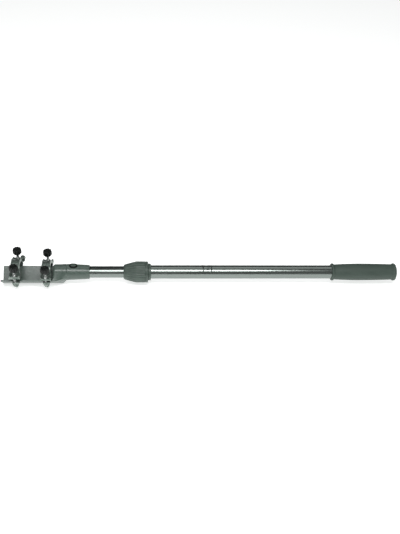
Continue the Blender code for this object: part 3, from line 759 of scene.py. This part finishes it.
def tube_mark(name, x_start, x_end, shape, material):
    """Thin patch of ink on the outer tube; its width varies along it as the shape says."""
    radius = BOXES["outer_tube"][1][1] + MARK_HEIGHT
    x_middle, x_half = (x_start + x_end) / 2.0, (x_end - x_start) / 2.0
    first, last = shape["angles"]
    bm = bmesh.new()
    rows = []
    for i in range(MARK_STEPS + 1):
        angle = math.radians(first + (last - first) * i / MARK_STEPS)
        half = x_half * shape["width"](i / MARK_STEPS)
        rows.append([bm.verts.new((x, -radius * math.cos(angle), radius * math.sin(angle)))
                     for x in (x_middle - half, x_middle, x_middle + half)])
    for row, after in zip(rows, rows[1:]):
        for i in range(2):
            bm.faces.new((row[i], row[i + 1], after[i + 1], after[i]))
    mark = finish_mesh(name, bm, material)
    thick = mark.modifiers.new("thickness", "SOLIDIFY")
    thick.thickness = MARK_THICKNESS
    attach(mark, BODY_OF["outer_tube"])


def tube_marks(looks):
    """Plain adjustment marks: wedges round the back of the tube with a line below each."""
    wedge = {"angles": (80.0, 122.0), "width": lambda share: 0.55 + 0.45 * smoothstep(2.0 * share)}
    drop = {"angles": (78.0, 118.0), "width": lambda share: 0.25 + 0.75 * smoothstep(1.4 * share)}
    line = {"angles": (40.0, 84.0), "width": lambda share: 1.0}
    marks = (("mark_wedge_1", 270.6, 278.8, wedge), ("mark_line_1", 273.6, 275.4, line),
             ("mark_wedge_2", 283.6, 289.0, drop), ("mark_line_2", 282.9, 283.9, line),
             ("mark_line_3", 288.8, 290.8, line))
    for name, x_start, x_end, shape in marks:
        tube_mark(name, x_start * MM, x_end * MM, shape, looks["ink"])


# Twist lock -----------------------------------------------------------------------------------

COLLAR_FRONT_R = 13.3 * MM
COLLAR_SHOULDER_X = 151.7 * MM
COLLAR_TAPER_MID = 0.54
COLLAR_RIM = 5.4 * MM               # plain rim behind the flutes
FLUTE_COUNT = 20
FLUTE_DEPTH = 0.9 * MM
FLUTE_SEGMENTS = 14
COLLAR_BORE = 11.15 * MM
COLLAR_CAVITY_R = 14.6 * MM
COLLAR_CAVITY = 24.0 * MM
COLLAR_FRONT_WALL = 3.0 * MM
COLLAR_CONE_R = 12.6 * MM
COLLAR_BEVEL = 1.2 * MM
COLLAR_STEPS = 56
COLLAR_NOSE = (0.5 * MM, 0.5 * MM)  # bevel on the front edge: length and depth
COLLAR_FACE_DROP = 1.3 * MM         # how far inside the front radius the face ends
FLUTE_REACH = 1.6 * MM              # only points this near the outside are fluted
FLUTE_START = 3.0 * MM
FLUTE_FADE_IN = 7.0 * MM
FLUTE_FADE_OUT = 0.8 * MM
FLUTE_SHARPNESS = 1.6
# (distance along, depth below the full radius) in millimetres, from the rim's front edge
RIM_FRONT = ((0.3, 0.45), (0.9, 0.45), (1.2, 0.0))
# The same from the collar's back end, measured forwards
RIM_BACK = ((1.6, 0.0), (0.8, 0.25), (0.2, 0.9), (0.0, 1.5))


def collar_outer(x):
    x_start = span("lock_collar")[0]
    full = BOXES["lock_collar"][1][2]
    share = min((x - x_start) / (COLLAR_SHOULDER_X - x_start), 1.0)
    bow = 4.0 * (COLLAR_TAPER_MID - 0.5) * share * (1.0 - share)
    return COLLAR_FRONT_R + (full - COLLAR_FRONT_R) * (share + bow)


def flute_relief(x, radius, angle):
    """Narrow rounded grooves between broad lands, faded out at both ends of the collar."""
    x_start, x_end = span("lock_collar")
    if radius < collar_outer(x) - FLUTE_REACH:
        return 0.0
    fade_in = smoothstep((x - x_start - FLUTE_START) / FLUTE_FADE_IN)
    fade_out = smoothstep((x_end - COLLAR_RIM - x) / FLUTE_FADE_OUT)
    groove = (0.5 - 0.5 * math.cos(FLUTE_COUNT * angle)) ** FLUTE_SHARPNESS
    return -FLUTE_DEPTH * fade_in * fade_out * groove


def detailed_collar(looks):
    x_start, x_end = span("lock_collar")
    full = BOXES["lock_collar"][1][2]
    rim_x = x_end - COLLAR_RIM
    taper_x = x_start + COLLAR_BEVEL
    outside = [(x_start, COLLAR_BORE), (x_start, COLLAR_FRONT_R - COLLAR_FACE_DROP),
               (x_start + COLLAR_NOSE[0], COLLAR_FRONT_R - COLLAR_NOSE[1])]
    for i in range(1, COLLAR_STEPS + 1):
        x = taper_x + (rim_x - taper_x) * i / COLLAR_STEPS
        outside.append((x, collar_outer(x)))
    outside += [(rim_x + along * MM, full - depth * MM) for along, depth in RIM_FRONT]
    outside += [(x_end - along * MM, full - depth * MM) for along, depth in RIM_BACK]
    wall_x = x_start + COLLAR_FRONT_WALL
    inside = [(x_end, COLLAR_CAVITY_R), (x_end - COLLAR_CAVITY, COLLAR_CAVITY_R),
              (wall_x, COLLAR_CONE_R), (wall_x, COLLAR_BORE)]
    collar = lathe("lock_collar_detail", outside + inside, looks["lock_plastic"],
                   FLUTE_COUNT * FLUTE_SEGMENTS, flute_relief)
    install(collar, "lock_collar")


BUSH_BORE = 12.8 * MM
BUSH_THREAD_R = 14.2 * MM
BUSH_FLANGE = 4.6 * MM
BUSH_ROUND = 0.8 * MM


def detailed_bush(looks):
    x_start, x_end = span("lock_bush")
    full = BOXES["lock_bush"][1][2]
    flange_x = x_end - BUSH_FLANGE
    outline = [(x_start, BUSH_BORE), (x_start, BUSH_THREAD_R), (flange_x, BUSH_THREAD_R),
               (flange_x, full), (x_end, full), (x_end, BUSH_BORE)]
    bush = lathe("lock_bush_detail", filleted(outline, BUSH_ROUND, 4), looks["lock_plastic"])
    install(bush, "lock_bush")


# Grip -----------------------------------------------------------------------------------------

GRIP_NECK_R = 14.0 * MM
GRIP_BELLY_R = 15.5 * MM
GRIP_TAIL_R = 14.4 * MM
GRIP_BELLY = 0.42                   # where the barrel is widest, as a share of its length
GRIP_FLANGE = 5.4 * MM
GRIP_KNURL = 0.28 * MM
GRIP_PEBBLE = 0.035 * MM
GRIP_BORE = 12.8 * MM
GRIP_STEPS = 90
GRIP_SEGMENTS = 160
GRIP_ALLOWANCE = 0.1 * MM           # room inside the CAD box for the pebbled skin
GRIP_SKIN_DEPTH = 0.6 * MM          # points deeper than this under the neck are left smooth
GRIP_STEP_IN = 0.6 * MM             # from the front flange to the barrel
GRIP_STEP_RISE = 0.1 * MM
GRIP_STEP_OUT = (0.5 * MM, 0.3 * MM)
KNURL_START = 9.0 * MM              # from the closed end
KNURL_FADE = 2.0 * MM
PEBBLES = 900.0                     # per metre
KNURLS = 420.0
DOME_STEPS = 12
DOME_DROP = 0.55 * MM
DOME_FULLNESS = 0.7                 # below 1 the dome is fuller than an ellipse
END_WALL = (4.0 * MM, 5.6 * MM)     # thickness at the centre and at the bore
GRIP_TAIL = 2.4 * MM                # what the rounded end adds to the end flange
GRIP_CENTRE_R = 0.3 * MM            # a pinhole that leaves the turned shape ring-shaped
# (distance along, depth below the full radius) in millimetres
FLANGE_FRONT = ((0.0, 2.2), (0.6, 0.8), (1.6, 0.1), (2.7, 0.0), (3.8, 0.3), (4.7, 1.2))
FLANGE_BACK = ((1.1, 0.7), (1.8, 0.1), (2.6, 0.0), (3.6, 0.0), (4.6, 0.25))


def barrel_radius(share):
    if share < GRIP_BELLY:
        bulge, low = math.sin(TURN / 4.0 * share / GRIP_BELLY), GRIP_NECK_R
    else:
        bulge, low = math.cos(TURN / 4.0 * (share - GRIP_BELLY) / (1.0 - GRIP_BELLY)), GRIP_TAIL_R
    return low + (GRIP_BELLY_R - low) * bulge


def grip_relief(x, radius, angle):
    """Pebbled skin, coarser on the end flange."""
    if radius < GRIP_NECK_R - GRIP_SKIN_DEPTH:
        return 0.0
    flange = smoothstep((x - span("grip_sleeve")[1] + KNURL_START) / KNURL_FADE)
    place = Vector((x, radius * math.cos(angle), radius * math.sin(angle)))
    fine = noise.noise(place * PEBBLES)
    coarse = noise.noise(place * KNURLS)
    return GRIP_PEBBLE * fine + GRIP_KNURL * flange * coarse


def detailed_grip(looks):
    x_start, x_end = span("grip_sleeve")
    full = BOXES["grip_sleeve"][1][2] - GRIP_ALLOWANCE
    front = [(x_start + along * MM, full - depth * MM) for along, depth in FLANGE_FRONT]
    front.append((x_start + GRIP_FLANGE, GRIP_NECK_R + GRIP_STEP_RISE))
    barrel_start = x_start + GRIP_FLANGE + GRIP_STEP_IN
    barrel_end = x_end - GRIP_FLANGE - GRIP_TAIL
    barrel = [(barrel_start + (barrel_end - barrel_start) * i / GRIP_STEPS, barrel_radius(i / GRIP_STEPS))
              for i in range(GRIP_STEPS + 1)]
    back = [(barrel_end + GRIP_STEP_OUT[0], GRIP_TAIL_R + GRIP_STEP_OUT[1])]
    back += [(barrel_end + along * MM, full - depth * MM) for along, depth in FLANGE_BACK]
    dome_x = back[-1][0]
    dome = []
    for i in range(1, DOME_STEPS + 1):
        angle = TURN / 4.0 * i / DOME_STEPS
        dome.append((dome_x + (x_end - dome_x) * math.sin(angle),
                     GRIP_CENTRE_R + (full - DOME_DROP) * math.cos(angle) ** DOME_FULLNESS))
    wall = [(x_end - END_WALL[0], GRIP_CENTRE_R), (x_end - END_WALL[1], GRIP_BORE), (x_start, GRIP_BORE)]
    grip = lathe("grip_sleeve_detail", front + barrel + back + dome + wall, looks["grip_rubber"],
                 GRIP_SEGMENTS, grip_relief)
    install(grip, "grip_sleeve")


# Clamps ---------------------------------------------------------------------------------------

ARCH_Z = {"front": 4.0 * MM, "rear": 0.0}
EAR_TOP_Z = {"front": 11.0 * MM, "rear": 6.3 * MM}
STRAP_INNER_R = 17.0 * MM
STRAP_THICKNESS = 3.0 * MM
CHEEK_THICKNESS = 2.3 * MM
CHEEK_RISE = 2.0 * MM
YOKE_HALF_WIDTH = 9.4 * MM
YOKE_LEAN = 0.13
FOOT_INNER_Y = 22.4 * MM
FOOT_OUTER_Y = 30.2 * MM
SCREW_Y = 26.0 * MM
BOSS_R = 4.1 * MM
STUD_HOLE_R = 2.9 * MM
BOSS_FOOT_GAP = 0.4 * MM
BOSS_RISE = 0.1 * MM
CHEEK_SET_BACK = 0.4 * MM           # the strap's arch stands this far inside the cheeks' arch
CHEEK_ARCH_DEG = 12.0
CHEEK_SHOULDER_DEG = 46.0
CHEEK_SHOULDER_Y = 19.5 * MM
CHEEK_CORNER = (1.5 * MM, 1.8 * MM)
STRAP_EAR_INSET = 0.6 * MM
STRAP_FOOT_GAP = 0.3 * MM
STRAP_ARCH_RISE = 1.0 * MM
STRAP_FOOT_FLARE = 1.5 * MM
STRAP_OVERLAP = 0.4 * MM            # how far the strap runs into each cheek
STUD_HOLE_Z = (-30.0 * MM, 40.0 * MM)
LUG_R = 4.8 * MM
LUG_X = 8.8 * MM
LUG_Z = 10.8 * MM
LUG_LENGTH = 9.4 * MM
# (dish depth in millimetres, share of the lug's radius) for its dished face
LUG_FACE = ((0.6, 0.5), (0.0, 0.62), (0.0, 0.9), (0.5, 1.0))
YOKE_VOXEL = 0.4 * MM
JAW_VOXEL = 0.3 * MM
SIDES = {"near": -1.0, "far": 1.0}


def both_halves(inner, outer):
    """Closed (y, z) outline from its +Y half: the inner edge upwards, then the outer edge downwards."""
    left_inner = [(-y, z) for y, z in reversed(inner[:-1])]
    left_outer = [(-y, z) for y, z in reversed(outer[1:])]
    return inner + left_inner + left_outer + outer


def cheek_outline(place, foot_z):
    centre = (0.0, ARCH_Z[place])
    ear_z = EAR_TOP_Z[place] + CHEEK_RISE
    inner = [(FOOT_INNER_Y, foot_z)] + arc(
        centre, STRAP_INNER_R - CHEEK_SET_BACK, CHEEK_ARCH_DEG, 90.0, 20)
    outer = arc(centre, STRAP_INNER_R + STRAP_THICKNESS + CHEEK_RISE, 90.0, CHEEK_SHOULDER_DEG, 12)
    outer += [(CHEEK_SHOULDER_Y, ear_z), (FOOT_OUTER_Y - CHEEK_CORNER[0], ear_z),
              (FOOT_OUTER_Y, ear_z - CHEEK_CORNER[1]), (FOOT_OUTER_Y, foot_z)]
    return both_halves(inner, outer)


def strap_outline(place, foot_z):
    centre = (0.0, ARCH_Z[place])
    outer_r = STRAP_INNER_R + STRAP_THICKNESS
    ear_y = FOOT_OUTER_Y - STRAP_EAR_INSET
    inner_start = math.degrees(math.asin((foot_z + STRAP_ARCH_RISE - centre[1]) / STRAP_INNER_R))
    outer_end = math.degrees(math.asin((EAR_TOP_Z[place] - centre[1]) / outer_r))
    inner_arch = arc(centre, STRAP_INNER_R, inner_start, 90.0, 20)
    inner = [(ear_y, foot_z), (inner_arch[0][0] + STRAP_FOOT_FLARE, foot_z)] + inner_arch
    outer = arc(centre, outer_r, 90.0, outer_end, 20) + [(ear_y, EAR_TOP_Z[place])]
    return both_halves(inner, outer)


def detailed_yoke(place, looks):
    name = "yoke_" + place
    centre_x = post_centre(f"stud_{place}_near")[0]
    foot_z = BOXES[name][0][2]
    inside = YOKE_HALF_WIDTH - CHEEK_THICKNESS
    reach = inside + STRAP_OVERLAP
    outline = strap_outline(place, foot_z + STRAP_FOOT_GAP)
    strap = prism_x(outline, centre_x - reach, centre_x + reach)
    yoke = finish_mesh(name + "_detail", strap, looks["clamp_metal"])
    top = EAR_TOP_Z[place] + CHEEK_RISE
    for sign in SIDES.values():
        rings = [[Vector((centre_x + sign * (distance + YOKE_LEAN * (top - z)), y, z))
                  for y, z in cheek_outline(place, foot_z)] for distance in (inside, YOKE_HALF_WIDTH)]
        boolean(yoke, skin(rings), "UNION")
    for sign in SIDES.values():
        boss = [ring_z((centre_x, sign * SCREW_Y), z, BOSS_R)
                for z in (foot_z + BOSS_FOOT_GAP, EAR_TOP_Z[place] + BOSS_RISE)]
        boolean(yoke, skin(boss), "UNION")
    if place == "front":
        add_lug(yoke, centre_x)
    for sign in SIDES.values():
        hole = [ring_z((centre_x, sign * SCREW_Y), z, STUD_HOLE_R) for z in STUD_HOLE_Z]
        boolean(yoke, skin(hole), "DIFFERENCE")
    cast_surface(yoke, YOKE_VOXEL, 2)
    install(yoke, name)


def add_lug(yoke, centre_x):
    """Round lug on the far ear, dished like a rivet head."""
    y_start = SCREW_Y - LUG_LENGTH / 2.0
    rings = []
    for inset, share in LUG_FACE + ((LUG_LENGTH / MM, 1.0),):
        face = arc((centre_x + LUG_X, LUG_Z), LUG_R * share, 0.0, 352.5, 47)
        rings.append([Vector((x, y_start + inset * MM, z)) for x, z in face])
    boolean(yoke, skin(rings), "UNION")


# Screws ---------------------------------------------------------------------------------------

KNOB_LOBES = 9
KNOB_LOBE_DEPTH = 1.4 * MM
KNOB_DISH_R = 3.4 * MM
THREAD_PITCH = 1.0 * MM
THREAD_DEPTH = 0.45 * MM
THREAD_R = 2.5 * MM
THREAD_STEPS = 6                    # rings for each pitch
STUD_SIDES = 32
SHOULDER_HEIGHT = 1.6 * MM
KNOB_HOLE_R = 2.75 * MM
KNOB_HOLE_DEPTH = 6.3 * MM
LOBE_SEGMENTS = 20
LOBE_SHARPNESS = 1.5
THREAD_LEAD_SLOPE = 0.6             # how fast the thread grows from the stud's lower end
SHOULDER_BEVEL = 0.3 * MM
# (depth in millimetres, share of the dish's radius)
KNOB_DISH = ((0.6, 1.0), (1.0, 0.8), (1.1, 0.3))
# Each ring's share of the knob's height, of its radius, and of the lobes' depth
KNOB_PROFILE = ((0.0, 0.34, 0.0), (0.01, 0.39, 0.0), (0.05, 0.42, 0.0), (0.10, 0.50, 0.1),
                (0.17, 0.66, 0.4), (0.24, 0.82, 0.65), (0.31, 0.94, 0.9), (0.37, 0.99, 1.0),
                (0.45, 1.0, 1.0), (0.60, 1.0, 1.0), (0.75, 1.0, 1.0), (0.87, 0.995, 1.0),
                (0.92, 0.975, 1.0), (0.96, 0.93, 0.95), (0.985, 0.87, 0.85), (1.0, 0.79, 0.7))


def lobed(centre, z, radius, depth, count):
    points = []
    for i in range(count):
        angle = TURN * i / count
        r = radius - depth * (0.5 - 0.5 * math.cos(KNOB_LOBES * angle)) ** LOBE_SHARPNESS
        points.append(Vector((centre[0] + r * math.cos(angle), centre[1] + r * math.sin(angle), z)))
    return points


def detailed_knob(name, looks):
    low, high = BOXES["knob_" + name]
    centre = post_centre("stud_" + name)
    radius = max(high[0] - low[0], high[1] - low[1]) / 2.0
    height = high[2] - low[2]
    count = KNOB_LOBES * LOBE_SEGMENTS
    levels = [(KNOB_HOLE_DEPTH, KNOB_HOLE_R, 0.0), (GAP, KNOB_HOLE_R, 0.0)]
    levels += [(height * h, radius * r, KNOB_LOBE_DEPTH * lobes) for h, r, lobes in KNOB_PROFILE]
    levels += [(height - 0.15 * MM, radius * 0.62, 0.2 * MM),
               (height - 0.25 * MM, KNOB_DISH_R + 0.5 * MM, 0.0)]
    levels += [(height - depth * MM, KNOB_DISH_R * share, 0.0) for depth, share in KNOB_DISH]
    rings = [lobed(centre, low[2] + z, r, depth, count) for z, r, depth in levels]
    knob = finish_mesh(f"knob_{name}_detail", skin(rings), looks["knob_plastic"])
    install(knob, "knob_" + name)


def thread_radius(z, angle, core, crest):
    """Triangular thread: the radius rises and falls once each pitch."""
    phase = (z / THREAD_PITCH - angle / TURN) % 1.0
    return core + (crest - core) * (1.0 - abs(2.0 * phase - 1.0))


def detailed_stud(name, looks):
    low, high = BOXES["stud_" + name]
    centre = post_centre("stud_" + name)
    shoulder_r = (high[0] - low[0]) / 2.0
    washer_top = BOXES["washer_" + name][1][2]
    shoulder = (washer_top + GAP, washer_top + GAP + SHOULDER_HEIGHT)
    core = THREAD_R - THREAD_DEPTH
    step = THREAD_PITCH / THREAD_STEPS
    rings = []
    for i in range(round((high[2] - low[2]) / step) + 1):
        z = min(low[2] + i * step, high[2])
        if shoulder[0] <= z <= shoulder[1]:
            ends = min(z - shoulder[0], shoulder[1] - z)
            rings.append(ring_z(centre, z, shoulder_r - max(SHOULDER_BEVEL - ends, 0.0), STUD_SIDES))
            continue
        top = min(THREAD_R, core + (z - low[2]) * THREAD_LEAD_SLOPE)
        ring = []
        for k in range(STUD_SIDES):
            angle = TURN * k / STUD_SIDES
            r = thread_radius(z, angle, core, top)
            ring.append(Vector((centre[0] + r * math.cos(angle), centre[1] + r * math.sin(angle), z)))
        rings.append(ring)
    stud = finish_mesh(f"stud_{name}_detail", skin(rings), looks["steel"], 60.0)
    install(stud, "stud_" + name)


WASHER_ROUND = 0.25 * MM


def detailed_washer(name, looks):
    low, high = BOXES["washer_" + name]
    centre = post_centre("washer_" + name)
    outer = (high[0] - low[0]) / 2.0
    corners = [(low[2], outer), (high[2], outer), (high[2], STUD_HOLE_R), (low[2], STUD_HOLE_R)]
    rings = [ring_z(centre, z, radius) for z, radius in filleted(corners, WASHER_ROUND, 3)]
    washer = finish_mesh(f"washer_{name}_detail", skin(rings, closed_loop=True), looks["steel"])
    install(washer, "washer_" + name)


JAW_NOSE_Y = 19.4 * MM
JAW_INNER_Y = 24.0 * MM
JAW_OUTER_Y = 29.8 * MM
JAW_TIP_Y = 26.6 * MM
JAW_HALF_WIDTH = 6.3 * MM
JAW_TIP_HALF_WIDTH = 1.4 * MM
JAW_GAP = 0.7 * MM
JAW_TIP_HALF_DEPTH = 1.5 * MM
JAW_DISH = 0.7 * MM
JAW_RIM_SHARE = 0.25
JAW_RIM_SLOPE = 1.4                 # where the dish starts, as a multiple of the rim
JAW_LEVELS = ((-1.8 * MM, 0.0), (-4.0 * MM, 0.0), (-8.5 * MM, 0.30), (-10.5 * MM, 0.55),
              (-13.2 * MM, 0.92), (-14.2 * MM, 1.0))


def detailed_jaw(name, sign, looks):
    """Hook jaw with a raised rim round its outer face."""
    low, high = BOXES["jaw_" + name]
    middle = (low[0] + high[0]) / 2.0
    rings = []
    for z, taper in JAW_LEVELS:
        half = JAW_HALF_WIDTH + (JAW_TIP_HALF_WIDTH - JAW_HALF_WIDTH) * taper
        nose = max(min(z - KEEL_Z + JAW_GAP, JAW_INNER_Y), JAW_NOSE_Y)
        nose += (JAW_TIP_Y - JAW_TIP_HALF_DEPTH - nose) * taper ** 2
        back = JAW_OUTER_Y + (JAW_TIP_Y + JAW_TIP_HALF_DEPTH - JAW_OUTER_Y) * taper ** 2
        rim = JAW_RIM_SHARE * half
        dish = JAW_DISH * (1.0 - taper)
        slope = JAW_RIM_SLOPE * rim
        section = [(-half, nose), (half, nose), (half, back), (half - rim, back),
                   (half - slope, back - dish), (-half + slope, back - dish),
                   (-half + rim, back), (-half, back)]
        rings.append([Vector((middle + x, sign * y, z)) for x, y in section])
    jaw = finish_mesh(f"jaw_{name}_detail", skin(rings), looks["clamp_metal"])
    centre = post_centre("stud_" + name)
    boolean(jaw, skin([ring_z(centre, z, STUD_HOLE_R) for z in STUD_HOLE_Z]), "DIFFERENCE")
    cast_surface(jaw, JAW_VOXEL, 1)
    install(jaw, "jaw_" + name)


# The whole scene ------------------------------------------------------------------------------

def main():
    add_camera()
    add_studio()
    add_floor()
    looks = {
        "casting": painted_casting(), "clamp_metal": clamp_casting(),
        "tube": drawn_aluminium(), "knob_plastic": knob_plastic(),
        "lock_plastic": lock_plastic(), "grip_rubber": grip_rubber(), "steel": zinc_steel(),
        "nylon": natural_nylon(), "spring": spring_steel(), "ink": print_ink(),
    }
    for name, obj in frame["nodes"].items():
        obj.data.materials.clear()
        obj.data.materials.append(looks[SLOT_OF[name]])
    detailed_head(looks)
    detailed_bezel(looks)
    detailed_button(looks)
    detailed_spring(looks)
    detailed_tubes(looks)
    tube_marks(looks)
    detailed_collar(looks)
    detailed_bush(looks)
    detailed_grip(looks)
    for place in ARCH_Z:
        detailed_yoke(place, looks)
        for side, sign in SIDES.items():
            name = f"{place}_{side}"
            detailed_knob(name, looks)
            detailed_stud(name, looks)
            detailed_washer(name, looks)
            detailed_jaw(name, sign, looks)


main()
